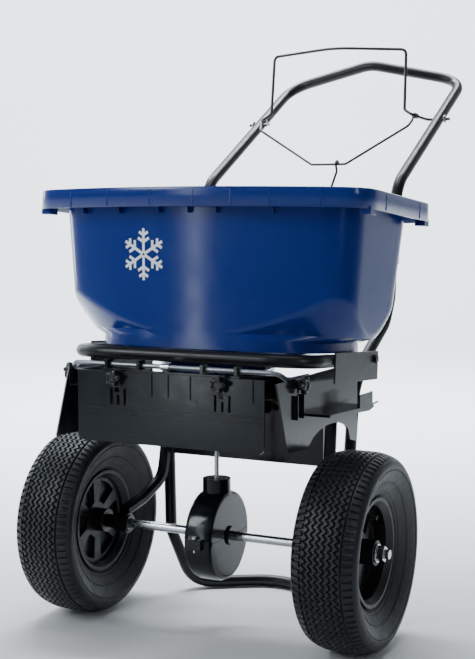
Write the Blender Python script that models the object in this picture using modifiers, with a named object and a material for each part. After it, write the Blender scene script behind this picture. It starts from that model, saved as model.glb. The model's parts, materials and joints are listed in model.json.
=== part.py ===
"""Walk-behind salt spreader with a baffle kit.

A blue moulded hopper sits on a bent-tube frame with two pneumatic wheels.  The right
wheel turns the axle, the axle turns the impeller through a right-angle gearbox, and a
wire bail at the handle opens the gate under the hopper.

Every size below is in metres and is measured from the middle of the axle, with +X to
the right, +Y towards the handle and +Z up.  stand_on_origin() then moves the whole
model so that the world origin is under the middle of its bounding box.
"""
from math import atan2, cos, pi, radians, sin, sqrt

import bmesh
import bpy
from mathutils import Matrix, Vector

# Driving dimensions
AXLE_Y = -0.2848          # where the axle lies once the bounding box is centred
WHEEL_R = 0.165           # 13 inch tyre, so also the height of the axle
TRACK = 0.519             # between the middles of the two tyres
TYRE_W = 0.1115
RIM_R = 0.091
RIM_W = 0.065
AXLE_R = 0.008
AXLE_END = 0.316
TUBE_R = 0.011
GAP = 0.0003              # what touching pieces keep between their faces

HUB_IN = 0.038            # how far a hub reaches inwards and outwards from the tyre's middle
HUB_OUT = 0.034
HUB_R = 0.021
DISC_OUT = 0.007          # the spoked disc, from the tyre's middle at the hub
DISC_IN = 0.0165
WEB = (-0.0060, -0.0030)  # the wall that closes the pockets between the spokes
SLEEVE_X = 0.188          # middle of an axle bearing
SLEEVE_W = 0.024
SLEEVE_R = 0.0150
BUSH_R = 0.0112

HANDLE_X = 0.200
APEX_BEND = 0.090         # the slight bend in the middle of the grip
PIVOT_Y = 0.600           # where the bail goes through the handle tubes
PIVOT_Z = 0.909
WIRE_R = 0.003
ROD_R = 0.004

HOPPER_Y = 0.0745         # middle of the hopper's rim
HOPPER_Z = 0.7458
HOPPER_TILT = radians(-4.33)
RIM_W2 = 0.308            # half of the rim's width and depth, without its bow
RIM_D2 = 0.1625
RIM_BOW = 0.045
RIM_SKIRT = 0.032
RIM_LEDGE = 0.030
CORNER_R = 0.040
DRAFT = 0.076             # how much a wall leans in for each metre down
BOWL_TOP = 0.233          # depth at which the bowl meets the middle of each wall
BOWL_W2 = 0.2605
BOWL_D2 = 0.162
BOWL_SLOPE = 3.35
FOOT_TOP = 0.2435
FOOT_BOTTOM = 0.2615
FOOT_W2 = 0.216
FOOT_D2 = 0.160
FLOOR_Y = -0.047          # middle of the outlet, in the hopper's own frame
FLOOR_Z = -0.300
OUTLET_R = 0.076
WALL = 0.0035

LOOP_W2 = 0.2185
LOOP_Z = -FOOT_BOTTOM - TUBE_R - 2 * GAP
LEG_Y = 0.160

SHAFT_R = 0.004
IMPELLER_Z = 0.385
IMPELLER_R = 0.108
VANES = 6
CROWN_R = 0.045
PINION_R = 0.010
CROWN_TEETH = 36
PINION_TEETH = 8
GEARBOX_R = 0.0785
GEARBOX_W2 = 0.026

PANEL = 0.003
FRONT_Y = -0.170
FRONT_W2 = 0.170
SIDE_X = 0.2045
PANEL_BOTTOM = 0.345
PANEL_TOP = 0.462
KNOB_Z = 0.452
BAFFLE_LIFT = 0.020
SIDE_LIFT = 0.009         # above this the side panels would meet the base loop
STUD_R = 0.003
KNOB_X = 0.095
SIDE_KNOB_Y = -0.125
KNOB_R = 0.0145
ROD_X = 0.1950
ROD_Y = -0.1570
ROD_Z = 0.4720

CRANK_Y = -0.060          # where the bridle hangs on the bail, from the bail's pivot
CRANK_Z = 0.006
HOOK_X = 0.019
HOOK_Y = PIVOT_Y - 0.098
HOOK_Z = PIVOT_Z - 0.091
TAIL_X = -0.015
TAIL_Y = 0.186            # in the hopper's tilted frame
GATE_TRAVEL = 0.077
# the shaft's place in the hopper's own tilted frame, at the depth of the outlet
SHAFT_LOCAL_Y = (-HOPPER_Y - FLOOR_Z * sin(-HOPPER_TILT)) / cos(HOPPER_TILT)

# Colours as linear RGB, with roughness and metallic
FINISHES = {
    "blue_plastic": ((0.008, 0.035, 0.27), 0.28, 0.0),
    "black_paint": ((0.012, 0.013, 0.015), 0.35, 0.0),
    "black_plastic": ((0.010, 0.011, 0.014), 0.30, 0.0),
    "rim_plastic": ((0.015, 0.016, 0.018), 0.50, 0.0),
    "tyre_rubber": ((0.020, 0.021, 0.022), 0.75, 0.0),
    "zinc": ((0.62, 0.64, 0.66), 0.30, 1.0),
    "black_wire": ((0.010, 0.010, 0.011), 0.40, 0.0),
    "nylon": ((0.02, 0.02, 0.021), 0.45, 0.0),
    "gear_plastic": ((0.30, 0.30, 0.31), 0.45, 0.0),
}


# Scene, collections and materials
def clear_scene():
    for obj in list(bpy.data.objects):
        bpy.data.objects.remove(obj, do_unlink=True)


def new_collection(name):
    collection = bpy.data.collections.new(name)
    bpy.context.scene.collection.children.link(collection)
    return collection


def material_for(obj, finish):
    colour, roughness, metallic = FINISHES[finish]
    mat = bpy.data.materials.new(obj.name + "_" + finish)
    mat.use_nodes = True
    shader = mat.node_tree.nodes["Principled BSDF"]
    shader.inputs["Base Color"].default_value = (*colour, 1.0)
    shader.inputs["Roughness"].default_value = roughness
    shader.inputs["Metallic"].default_value = metallic
    obj.data.materials.append(mat)


def add_part(name, mesh, finish, location=(0, 0, 0)):
    """Give a mesh its own named object in the spreader's collection."""
    obj = bpy.data.objects.new(name, mesh)
    PARTS.objects.link(obj)
    obj.location = location
    mesh.name = name
    mesh.materials.clear()
    material_for(obj, finish)
    mesh.shade_smooth()
    mesh.set_sharp_from_angle(angle=radians(35))
    return obj


def mesh_from(bm, name):
    bmesh.ops.recalc_face_normals(bm, faces=bm.faces)
    mesh = bpy.data.meshes.new(name)
    bm.to_mesh(mesh)
    bm.free()
    return mesh


# Basic solids, each returned as a mesh
def box_mesh(low, high, name="box"):
    bm = bmesh.new()
    bmesh.ops.create_cube(bm, size=1.0)
    size = [b - a for a, b in zip(low, high)]
    middle = [(a + b) / 2 for a, b in zip(low, high)]
    bmesh.ops.scale(bm, vec=size, verts=bm.verts)
    bmesh.ops.translate(bm, vec=middle, verts=bm.verts)
    return mesh_from(bm, name)


def rod_mesh(start, end, radius, sides=24, end_radius=None, name="rod"):
    """A straight cylinder or cone from one point to another."""
    a, b = Vector(start), Vector(end)
    bm = bmesh.new()
    radius2 = radius if end_radius is None else end_radius
    bmesh.ops.create_cone(bm, cap_ends=True, segments=sides, radius1=radius,
                          radius2=radius2, depth=(b - a).length)
    turn = (b - a).to_track_quat("Z", "Y").to_matrix().to_4x4()
    bmesh.ops.transform(bm, matrix=Matrix.Translation((a + b) / 2) @ turn, verts=bm.verts)
    return mesh_from(bm, name)


def turned_mesh(profile, axis="Z", steps=48, closed=True, name="turned"):
    """Turn (radius, height) points about the Z axis, or about the X axis."""
    bm = bmesh.new()
    points = [bm.verts.new((r, 0, h)) for r, h in profile]
    for start, end in zip(points, points[1:]):
        bm.edges.new((start, end))
    if closed:
        bm.edges.new((points[-1], points[0]))
    outline = bpy.data.meshes.new(name)
    bm.to_mesh(outline)
    bm.free()
    obj = bpy.data.objects.new(name, outline)
    PARTS.objects.link(obj)
    screw = obj.modifiers.new("turn", "SCREW")
    screw.steps = screw.render_steps = steps
    screw.use_merge_vertices = True
    screw.merge_threshold = 0.00001
    bpy.context.view_layer.update()
    evaluated = obj.evaluated_get(bpy.context.evaluated_depsgraph_get())
    turned = bpy.data.meshes.new_from_object(evaluated)
    bpy.data.objects.remove(obj, do_unlink=True)
    bpy.data.meshes.remove(outline)
    bm = bmesh.new()
    bm.from_mesh(turned)
    bpy.data.meshes.remove(turned)
    if axis == "X":
        bmesh.ops.rotate(bm, cent=(0, 0, 0), matrix=Matrix.Rotation(pi / 2, 3, "Y"),
                         verts=bm.verts)
    return mesh_from(bm, name)


def prism_mesh(outline, thickness, name="prism"):
    """A flat outline of (x, y) points, given a thickness along Z from zero up."""
    bm = bmesh.new()
    face = bm.faces.new([bm.verts.new((x, y, 0.0)) for x, y in outline])
    grown = bmesh.ops.extrude_face_region(bm, geom=[face])
    moved = [v for v in grown["geom"] if isinstance(v, bmesh.types.BMVert)]
    bmesh.ops.translate(bm, vec=(0, 0, thickness), verts=moved)
    return mesh_from(bm, name)


def moved_mesh(mesh, matrix):
    mesh.transform(matrix)
    return mesh


def tube_mesh(points, radius, cyclic=False, name="tube", roundness=2):
    """A round tube along points, made as a bevelled curve and turned into a mesh."""
    curve = bpy.data.curves.new(name, "CURVE")
    curve.dimensions = "3D"
    curve.bevel_depth = radius
    curve.bevel_resolution = roundness
    curve.use_fill_caps = True
    spline = curve.splines.new("POLY")
    spline.points.add(len(points) - 1)
    for slot, point in zip(spline.points, points):
        slot.co = (*point, 1.0)
    spline.use_cyclic_u = cyclic
    obj = bpy.data.objects.new(name, curve)
    PARTS.objects.link(obj)
    bpy.context.view_layer.update()
    evaluated = obj.evaluated_get(bpy.context.evaluated_depsgraph_get())
    mesh = bpy.data.meshes.new_from_object(evaluated)
    bpy.data.objects.remove(obj, do_unlink=True)
    bm = bmesh.new()
    bm.from_mesh(mesh)
    bmesh.ops.remove_doubles(bm, verts=bm.verts, dist=0.00001)
    bpy.data.meshes.remove(mesh)
    return mesh_from(bm, name)


def rounded_path(corners, radius, steps=5, cyclic=False):
    """Points along straight runs whose corners are rounded with a radius."""
    count = len(corners)
    path = []
    for i, corner in enumerate(corners):
        here = Vector(corner)
        if not cyclic and i in (0, count - 1):
            path.append(here)
            continue
        before = Vector(corners[i - 1]) - here
        after = Vector(corners[(i + 1) % count]) - here
        bend = radius[i] if isinstance(radius, (list, tuple)) else radius
        half = before.angle(after) / 2
        cut = min(bend / max(sin(half) / cos(half), 0.01),
                  0.48 * before.length, 0.48 * after.length)
        start = here + before.normalized() * cut
        end = here + after.normalized() * cut
        for k in range(steps + 1):
            t = k / steps
            path.append(start * (1 - t) ** 2 + here * 2 * t * (1 - t) + end * t ** 2)
    return path


def mirrored(points):
    """The same points with their X turned round, in the opposite order."""
    return [Vector((-p[0], p[1], p[2])) for p in reversed(points)]


def boolean(obj, mesh, operation):
    """Join or cut obj with another solid, through an applied Boolean modifier."""
    tool = bpy.data.objects.new("tool", mesh)
    CUTTERS.objects.link(tool)
    bpy.context.view_layer.update()
    tool.matrix_world = obj.matrix_world.copy()
    tool.hide_render = True
    tool.display_type = "WIRE"
    modifier = obj.modifiers.new(operation.lower(), "BOOLEAN")
    modifier.operation = operation
    modifier.object = tool
    bpy.context.view_layer.update()
    evaluated = obj.evaluated_get(bpy.context.evaluated_depsgraph_get())
    result = bpy.data.meshes.new_from_object(evaluated)
    result.name = obj.name
    obj.modifiers.remove(modifier)
    obj.data = result
    bpy.data.objects.remove(tool, do_unlink=True)


def cut(obj, *meshes):
    for mesh in meshes:
        boolean(obj, mesh, "DIFFERENCE")


def join(obj, *meshes):
    for mesh in meshes:
        boolean(obj, mesh, "UNION")


# Frame
def leg_points():
    """The right-hand run of the lower frame, from its top joint to the foot."""
    return [(0.196, 0.337, 0.655), (0.196, 0.328, 0.560), (0.196, 0.299, 0.514),
            (0.195, 0.236, 0.479), (0.193, 0.190, 0.450), (0.190, LEG_Y, 0.405),
            (0.183, LEG_Y, 0.285), (0.176, LEG_Y - 0.006, 0.120),
            (0.150, 0.190, TUBE_R), (0.0, 0.285, TUBE_R)]


def build_frame():
    right = leg_points()
    corners = [Vector(p) for p in right] + mirrored(right[:-1])
    radii = [0.06] * len(corners)
    radii[len(right) - 1] = 0.10
    frame = add_part("main_frame", tube_mesh(rounded_path(corners, radii, steps=3), TUBE_R),
                     "black_paint")
    half = [(0.196, 0.3378, 0.6610), (0.196, 0.3425, 0.7000), (HANDLE_X, 0.352, 0.772),
            (HANDLE_X, 0.770, 1.001), (0.0, 0.746, 1.043)]
    corners = [Vector(p) for p in half] + mirrored(half[:-1])
    path = rounded_path(corners, [0, 0.05, 0.09, 0.055, APEX_BEND, 0.055, 0.09, 0.05, 0],
                        steps=4)
    handle = add_part("handle", tube_mesh(path, TUBE_R, roundness=4), "black_paint")
    cut(handle, rod_mesh((-0.3, PIVOT_Y, PIVOT_Z), (0.3, PIVOT_Y, PIVOT_Z), WIRE_R + 0.0006, 12))
    lean = Matrix.Rotation(radians(-6.0), 4, "X")
    inner, outer = TUBE_R + 0.0014, TUBE_R + 0.0034
    ring = [(inner, -0.034), (inner, 0.034), (outer, 0.034), (outer, -0.034)]
    for side, name in ((1, "right"), (-1, "left")):
        sleeve = add_part("handle_sleeve_" + name, moved_mesh(turned_mesh(ring, steps=24), lean),
                          "black_paint", (side * 0.196, 0.3376, 0.6585))
        for z in (-0.018, 0.018):
            screw = rod_mesh((0, inner + 0.0006, z), (0, outer + 0.0050, z), 0.0062, 6)
            join(sleeve, moved_mesh(screw, lean))
    return frame, handle


def build_base_loop(tilt):
    """The bent tube that the hopper stands on; it lies in the hopper's own plane."""
    half = [(LOOP_W2, 0.115, LOOP_Z), (LOOP_W2, -0.150, LOOP_Z), (0.165, -0.1745, LOOP_Z)]
    corners = [Vector(p) for p in half] + mirrored(half)
    path = rounded_path(corners, [0, 0.05, 0.10, 0.10, 0.05, 0], steps=6)
    loop = add_part("base_loop", tube_mesh(path, TUBE_R), "black_paint")
    loop.parent = tilt
    return loop


def build_side_plates(tilt):
    """Flat plates outside the loop, which tie it to the legs."""
    outer = LOOP_W2 + TUBE_R + GAP
    for side, name in ((1, "right"), (-1, "left")):
        low_x, high_x = sorted((side * outer, side * (outer + PANEL)))
        plate = add_part("side_plate_" + name,
                         box_mesh((low_x, -0.088, LOOP_Z - 0.036), (high_x, 0.112, LOOP_Z + 0.014)),
                         "black_paint")
        plate.parent = tilt
        bolt = rod_mesh((side * (outer + PANEL - 0.001), 0.096, LOOP_Z),
                        (side * (outer + PANEL + 0.005), 0.096, LOOP_Z), 0.0075, 6)
        join(plate, bolt)


def build_struts():
    """Two short tubes from the legs down to the axle, each with a welded sleeve."""
    for side, name in ((1, "right"), (-1, "left")):
        points = [(0.166, 0.122, 0.425), (0.164, 0.112, 0.285), (0.163, 0.098, 0.232),
                  (0.178, 0.050, 0.200), (SLEEVE_X, 0.006, WHEEL_R + SLEEVE_R + 0.006)]
        corners = [Vector((side * x, y, z)) for x, y, z in points]
        strut = add_part("axle_strut_" + name,
                         tube_mesh(rounded_path(corners, 0.05, steps=4), TUBE_R), "black_paint")
        low, high = SLEEVE_X - SLEEVE_W / 2, SLEEVE_X + SLEEVE_W / 2
        axis_end = [Vector((side * x, 0, WHEEL_R)) for x in (low, high)]
        join(strut, rod_mesh(*axis_end, SLEEVE_R + 0.003, 24))
        bore = [Vector((side * x, 0, WHEEL_R)) for x in (low - 0.01, high + 0.01)]
        cut(strut, rod_mesh(*bore, BUSH_R + GAP, 24))
        profile = [(AXLE_R + GAP, -SLEEVE_W / 2 - 0.003), (AXLE_R + GAP, SLEEVE_W / 2),
                   (BUSH_R, SLEEVE_W / 2), (BUSH_R, -SLEEVE_W / 2 - GAP),
                   (SLEEVE_R, -SLEEVE_W / 2 - GAP), (SLEEVE_R, -SLEEVE_W / 2 - 0.003)]
        bush = turned_mesh(profile, "X", 24)
        if side < 0:
            bush = moved_mesh(bush, Matrix.Rotation(pi, 4, "Z"))
        add_part("axle_bush_" + name, bush, "nylon", (side * SLEEVE_X, 0, WHEEL_R))
        build_frame_bolt(side, name)


def build_frame_bolt(side, name):
    """A long bolt with a spacer that holds a strut to its leg."""
    leg = Vector((side * 0.1832, LEG_Y, 0.288))
    strut = Vector((side * 0.1641, 0.1122, 0.288))
    across = (leg - strut).normalized()
    inner = strut + across * (TUBE_R + GAP + 0.0003)
    outer = leg - across * (TUBE_R + GAP + 0.0003)
    add_part("frame_spacer_" + name, rod_mesh(inner, outer, 0.008, 20), "zinc")


# Wheels, axle and gears
def tyre_profile():
    """One closed cross-section of the tyre as (radius, offset) points.

    The wall leaves the rim's flange at a shallow slope and is widest far out.
    """
    half = TYRE_W / 2
    bead = RIM_W / 2 - 0.0045
    inner = [(0.0838, bead), (0.0920, bead + 0.001), (0.0985, half * 0.62)]
    wall = [(0.1100, half * 0.74), (0.1220, half * 0.86), (0.1340, half * 0.96),
            (0.1430, half), (0.1520, half * 0.95)]
    crown = [(0.1590, half * 0.79), (WHEEL_R - 0.0010, half * 0.46)]
    right = inner + wall + crown
    return right + [(WHEEL_R, 0.0)] + [(r, -h) for r, h in reversed(right)]


def rim_profile(side):
    """Hub, dish, barrel and flanges as one closed cross-section."""
    edge = RIM_W / 2
    seat = 0.0832
    bore = AXLE_R + GAP
    outer_face = [(bore, HUB_OUT), (HUB_R, HUB_OUT), (HUB_R, DISC_OUT), (0.0765, DISC_OUT - 0.007),
                  (0.0770, edge - 0.010), (0.0850, edge)]
    flange = [(RIM_R, edge), (RIM_R, edge - 0.003), (seat, edge - 0.0034), (0.0800, 0.012)]
    far_flange = [(r, -h) for r, h in reversed(flange)]
    inner_face = [(0.0850, -edge), (0.0770, -edge + 0.010), (0.0765, -DISC_IN),
                  (HUB_R, -DISC_IN + 0.002), (HUB_R, -HUB_IN), (bore, -HUB_IN)]
    return [(r, side * h) for r, h in outer_face + flange + far_flange + inner_face]


def build_wheel(side, name):
    """A tyre on a moulded rim with six spokes; its empty marks the wheel's axis."""
    axis = bpy.data.objects.new("wheel_axis_" + name, None)
    PARTS.objects.link(axis)
    axis.location = (side * TRACK / 2, 0, WHEEL_R)
    tyre = add_part("tyre_" + name, turned_mesh(tyre_profile(), "X", 36), "tyre_rubber")
    rim = add_part("wheel_rim_" + name, turned_mesh(rim_profile(side), "X", 30), "rim_plastic")
    for k in range(6):
        angle = 2 * pi * (k + 0.5) / 6
        for low, high in ((-0.030, WEB[0]), (WEB[1], 0.030)):
            if side < 0:
                low, high = -high, -low
            cut(rim, pocket_mesh(angle, low, high))
    stem_turn = Matrix.Rotation(radians(15), 4, "X")
    stem = rod_mesh((side * 0.018, 0, 0.0700), (side * 0.0400, 0, 0.0645), 0.0040, 12)
    valve = add_part("valve_stem_" + name, moved_mesh(stem, stem_turn), "black_plastic")
    for obj in (tyre, rim, valve):
        obj.parent = axis
    return axis


def pocket_mesh(angle, low, high):
    """The wedge-shaped pocket between two spokes, from one offset to another."""
    inner, outer, spread = 0.0330, 0.0700, radians(20)
    outline = []
    for k in range(4):
        a = angle - spread + 2 * spread * k / 3
        outline.append((outer * cos(a), outer * sin(a)))
    for k in (1, -1):
        a = angle + 0.8 * spread * k
        outline.append((inner * cos(a), inner * sin(a)))
    mesh = prism_mesh(outline, high - low)
    mesh.transform(Matrix.Translation((0, 0, low)))
    mesh.transform(Matrix.Rotation(pi / 2, 4, "Y"))
    return mesh


def build_axle():
    axle = add_part("axle", rod_mesh((-AXLE_END, 0, 0), (AXLE_END, 0, 0), AXLE_R, 32), "zinc",
                    (0, 0, WHEEL_R))
    hub_face = TRACK / 2 + HUB_OUT
    hub_back = TRACK / 2 - HUB_IN
    for side, name in ((1, "right"), (-1, "left")):
        washer = [(AXLE_R + GAP, 0), (AXLE_R + GAP, 0.0025), (0.016, 0.0025), (0.016, 0)]
        add_part("hub_washer_" + name, turned_mesh(washer, "X", 20), "zinc",
                 (side * (hub_face + 0.0004) - (0.0025 if side < 0 else 0), 0, WHEEL_R))
        nut = rod_mesh((side * (hub_face + 0.0033), 0, 0), (side * (hub_face + 0.0143), 0, 0),
                       0.0135, 6)
        part = add_part("hub_nut_" + name, nut, "zinc", (0, 0, WHEEL_R))
        cut(part, rod_mesh((side * 0.27, 0, 0), (side * 0.33, 0, 0), AXLE_R + GAP, 24))
        inside = SLEEVE_X + SLEEVE_W / 2 + 0.0006
        spacer = [(AXLE_R + GAP, 0), (AXLE_R + GAP, hub_back - inside - 0.0004),
                  (0.0122, hub_back - inside - 0.0004), (0.0122, 0)]
        mesh = turned_mesh(spacer, "X", 24)
        if side < 0:
            mesh = moved_mesh(mesh, Matrix.Rotation(pi, 4, "Z"))
        add_part("axle_spacer_" + name, mesh, "black_plastic", (side * inside, 0, WHEEL_R))
    return axle


def build_crown_gear():
    """A ring of radial teeth that faces -X, fixed to the axle."""
    back = [(AXLE_R + GAP, 0.0135), (AXLE_R + GAP, 0.0200), (0.015, 0.0200), (0.015, 0.0180),
            (0.0500, 0.0180), (0.0500, 0.0135)]
    gear = add_part("crown_gear", turned_mesh(back, "X", CROWN_TEETH), "gear_plastic", (0, 0, WHEEL_R))
    bm = bmesh.new()
    for k in range(CROWN_TEETH):
        angle = 2 * pi * (k + 0.5) / CROWN_TEETH
        made = bmesh.ops.create_cube(bm, size=1.0)
        bmesh.ops.scale(bm, vec=(0.0040, 0.0030, 0.0100), verts=made["verts"])
        bmesh.ops.translate(bm, vec=(0.0120, 0, CROWN_R - 0.0005), verts=made["verts"])
        bmesh.ops.rotate(bm, cent=(0, 0, 0), matrix=Matrix.Rotation(angle, 3, "X"),
                         verts=made["verts"])
    join(gear, mesh_from(bm, "teeth"))
    return gear


def build_pinion():
    root, tip, half = 0.0082, 0.0112, 0.0015
    outline = []
    for k in range(PINION_TEETH):
        angle = 2 * pi * k / PINION_TEETH
        for radius, across in ((root, -1.6 * half), (tip, -0.8 * half), (tip, 0.8 * half),
                               (root, 1.6 * half)):
            turn = angle + across / radius
            outline.append((radius * cos(turn), radius * sin(turn)))
    mesh = moved_mesh(prism_mesh(outline, 0.0110), Matrix.Translation((0, 0, WHEEL_R + 0.0390)))
    pinion = add_part("pinion", mesh, "gear_plastic")
    cut(pinion, rod_mesh((0, 0, 0.15), (0, 0, 0.25), SHAFT_R + GAP, 16))
    return pinion


def gearbox_solid(name):
    """The whole gearbox casing, hollow inside, before it is split at the axle."""
    edge = 0.010
    rim = [(GEARBOX_R - edge + edge * sin(a), GEARBOX_W2 - edge + edge * cos(a))
           for a in (0, pi / 4, pi / 2)]
    left = [(r, -h) for r, h in rim]
    boss_r, boss_x, bore = 0.0165, GEARBOX_W2 + 0.004, AXLE_R + GAP
    boss = [(bore, boss_x), (boss_r, boss_x), (boss_r, GEARBOX_W2)]
    outline = ([(r, -h) for r, h in boss] + left + list(reversed(rim)) + list(reversed(boss)))
    case = add_part(name, turned_mesh(outline, "X", 34), "black_plastic", (0, 0, WHEEL_R))
    join(case, rod_mesh((0, 0, 0.050), (0, 0, 0.0985), 0.0245, 20))
    for side in (-1, 1):
        lug = box_mesh((-0.014, side * 0.079 - 0.010, -0.009), (0.014, side * 0.079 + 0.010, 0.009))
        join(case, lug)
    cut(case, rod_mesh((-0.0215, 0, 0), (0.0215, 0, 0), 0.0580, 30))
    cut(case, rod_mesh((0, 0, 0.01), (0, 0, 0.12), SHAFT_R + GAP, 16))
    return case


def build_gearbox():
    upper = gearbox_solid("gearbox_upper")
    cut(upper, box_mesh((-0.1, -0.12, -0.12), (0.1, 0.12, GAP / 2)))
    lower = gearbox_solid("gearbox_lower")
    cut(lower, box_mesh((-0.1, -0.12, -GAP / 2), (0.1, 0.12, 0.12)))
    for y, name in ((-0.0835, "front"), (0.0835, "rear")):
        for half in (upper, lower):
            cut(half, rod_mesh((0, y, -0.02), (0, y, 0.02), 0.0023, 12))
        screw = rod_mesh((0, y, -0.014), (0, y, 0.0095), 0.0020, 12)
        part = add_part("gearbox_screw_" + name, screw, "zinc", (0, 0, WHEEL_R))
        join(part, rod_mesh((0, y, 0.0093), (0, y, 0.0130), 0.0042, 16))


def build_impeller():
    """Shaft, spinning disc with vanes, and the stirring wire inside the hopper."""
    shaft = rod_mesh((0, 0, WHEEL_R + 0.0350), (0, 0, 0.492), SHAFT_R, 16)
    add_part("impeller_shaft", shaft, "zinc")
    disc = [(SHAFT_R + GAP, -0.018), (SHAFT_R + GAP, 0.010), (0.014, 0.010), (0.014, 0.0025),
            (IMPELLER_R, 0.0025), (IMPELLER_R, 0), (0.014, 0), (0.014, -0.018)]
    impeller = add_part("impeller", turned_mesh(disc, "Z", 32), "black_plastic",
                        (0, 0, IMPELLER_Z))
    for k in range(VANES):
        vane = box_mesh((0.022, -0.0012, 0.0010), (IMPELLER_R - 0.003, 0.0012, 0.020))
        join(impeller, moved_mesh(vane, Matrix.Rotation(2 * pi * k / VANES, 4, "Z")))
    path = rounded_path([(0.030, 0, 0.000), (0.022, 0, 0.010), (-0.022, 0, 0.010),
                         (-0.030, 0, 0.000)], 0.006, steps=3)
    agitator = add_part("agitator", tube_mesh(path, 0.0020), "zinc", (0, 0, 0.473))
    join(agitator, rod_mesh((0, 0, 0.004), (0, 0, 0.016), 0.0075, 16))
    cut(agitator, rod_mesh((0, 0, -0.01), (0, 0, 0.03), SHAFT_R + GAP, 16))


# Hopper and gate
def bowed_outline(w2, d2, bow, corner, counts=(10, 3, 4)):
    """A rounded rectangle whose front and rear bow outwards, as (x, y) points."""
    across, around, along = counts

    def edge_y(x):
        return d2 + bow * (1 - (x / w2) ** 2)

    quarter = []
    for k in range(across // 2 + 1):
        x = (w2 - corner) * 2 * k / across
        quarter.append((x, -edge_y(x)))
    start = Vector(quarter[-1])
    middle = Vector((w2, -d2))
    end = Vector((w2, -d2 + corner))
    for k in range(1, around + 1):
        t = k / around
        quarter.append(tuple(start * (1 - t) ** 2 + middle * 2 * t * (1 - t) + end * t ** 2))
    for k in range(1, along // 2 + 1):
        t = 2 * k / along
        quarter.append((w2, (-d2 + corner) * (1 - t)))
    front_right = quarter[:-1]
    rear_right = [(x, -y) for x, y in reversed(quarter)][:-1]
    rear_left = [(-x, -y) for x, y in quarter][:-1]
    front_left = [(-x, y) for x, y in reversed(quarter)][:-1]
    return front_right + rear_right + rear_left + front_left


def body_section(depth):
    """One level of the body: its four walls, cut by the elliptical bowl below them."""
    w2 = RIM_W2 - RIM_LEDGE - WALL - DRAFT * depth
    d2 = RIM_D2 - RIM_LEDGE - WALL - DRAFT * depth
    limit = 1 + BOWL_SLOPE * (BOWL_TOP - depth)
    section = []
    for x, y in bowed_outline(w2, d2, RIM_BOW, CORNER_R):
        reach = sqrt((x / (BOWL_W2 - WALL)) ** 2 + (y / (BOWL_D2 - WALL)) ** 2)
        scale = min(1.0, limit / reach)
        section.append((x * scale, y * scale, -depth))
    return section


def foot_section(depth, w2, d2, power=3.0, y_shift=0.0, like=None):
    """A rounder section with its points at the angles of the body's own."""
    section = []
    for x, y in like:
        angle = atan2(y / RIM_D2, x / RIM_W2)
        c, s = cos(angle), sin(angle)
        grow = (abs(c) ** power + abs(s) ** power) ** (-1 / power)
        section.append((w2 * c * grow, d2 * s * grow + y_shift, -depth))
    return section


def hopper_sections():
    rim = bowed_outline(RIM_W2, RIM_D2, RIM_BOW, CORNER_R)
    ledge = [(x, y, -0.0) for x, y in rim]
    bevel = [(x * 0.994, y * 0.994, 0.0) for x, y in rim]
    skirt = [(x, y, -RIM_SKIRT) for x, y in rim]
    upper = [(x, y, -0.002) for x, y, z in ledge]
    sections = [skirt, upper, bevel]
    depths = [0.0, 0.160, 0.175, 0.190, 0.205, 0.220, BOWL_TOP]
    sections += [body_section(d) for d in depths]
    like = [(p[0], p[1]) for p in rim]
    foot = (FOOT_W2 - WALL, FOOT_D2 - WALL)
    sections.append(foot_section(FOOT_TOP, *foot, like=like))
    sections.append(foot_section(FOOT_BOTTOM - WALL, *foot, like=like))
    sections.append(foot_section(FOOT_BOTTOM - WALL, 0.192, 0.136, 2.6, like=like))
    sections.append(foot_section(0.280 - WALL, 0.132, 0.105, 2.2, FLOOR_Y * 0.6, like))
    sections.append(foot_section(-FLOOR_Z - WALL, OUTLET_R, OUTLET_R, 2.0, FLOOR_Y, like))
    return sections


def build_hopper(tilt):
    """One open shell lofted from the rim's skirt, over the ledge and down to the outlet.

    The lofted surface is the skirt's outside and the body's inside, so the wall that
    Solidify adds lies inside the skirt and outside the body.
    """
    bm = bmesh.new()
    rows = [[bm.verts.new(p) for p in section] for section in hopper_sections()]
    count = len(rows[0])
    for upper, lower in zip(rows, rows[1:]):
        for i in range(count):
            j = (i + 1) % count
            bm.faces.new((upper[i], upper[j], lower[j], lower[i]))
    mesh = bpy.data.meshes.new("hopper")
    bm.to_mesh(mesh)
    bm.free()
    hopper = add_part("hopper", mesh, "blue_plastic")
    hopper.parent = tilt
    solid = hopper.modifiers.new("wall", "SOLIDIFY")
    solid.thickness = WALL
    solid.offset = -1.0
    solid.use_even_offset = True
    return hopper


def build_gate(tilt):
    """The plate that closes the hopper's outlet, with ports, and the gate under it."""
    top = FLOOR_Z - 2 * GAP
    base = add_part("hopper_base", rod_mesh((0, FLOOR_Y, top - 0.004), (0, FLOOR_Y, top), 0.088, 48),
                    "black_plastic")
    base.parent = tilt
    for side in (-1, 1):
        outer = box_mesh(*sorted_box((side * 0.058, FLOOR_Y - 0.060, top - 0.0120),
                                     (side * 0.066, FLOOR_Y + 0.055, top - 0.0035)))
        join(base, outer)
        lip = box_mesh(*sorted_box((side * 0.052, FLOOR_Y - 0.060, top - 0.0120),
                                   (side * 0.059, FLOOR_Y + 0.055, top - 0.0095)))
        join(base, lip)
    cut(base, *outlet_cutters(0.0))
    gate = add_part("gate_plate", box_mesh((-0.0570, FLOOR_Y - 0.100, top - 0.0080),
                                           (0.0570, FLOOR_Y + 0.062, top - 0.0050)), "zinc")
    gate.parent = tilt
    join(gate, box_mesh((TAIL_X - 0.012, FLOOR_Y + 0.060, top - 0.0080),
                        (TAIL_X + 0.012, TAIL_Y + 0.012, top - 0.0050)))
    cut(gate, *outlet_cutters(-GATE_TRAVEL))
    cut(gate, box_mesh((TAIL_X - 0.0045, TAIL_Y - 0.0080, -0.4), (TAIL_X + 0.0045, TAIL_Y + 0.0050, -0.2)))
    return gate


def sorted_box(a, b):
    low = tuple(min(p, q) for p, q in zip(a, b))
    high = tuple(max(p, q) for p, q in zip(a, b))
    return low, high


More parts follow.
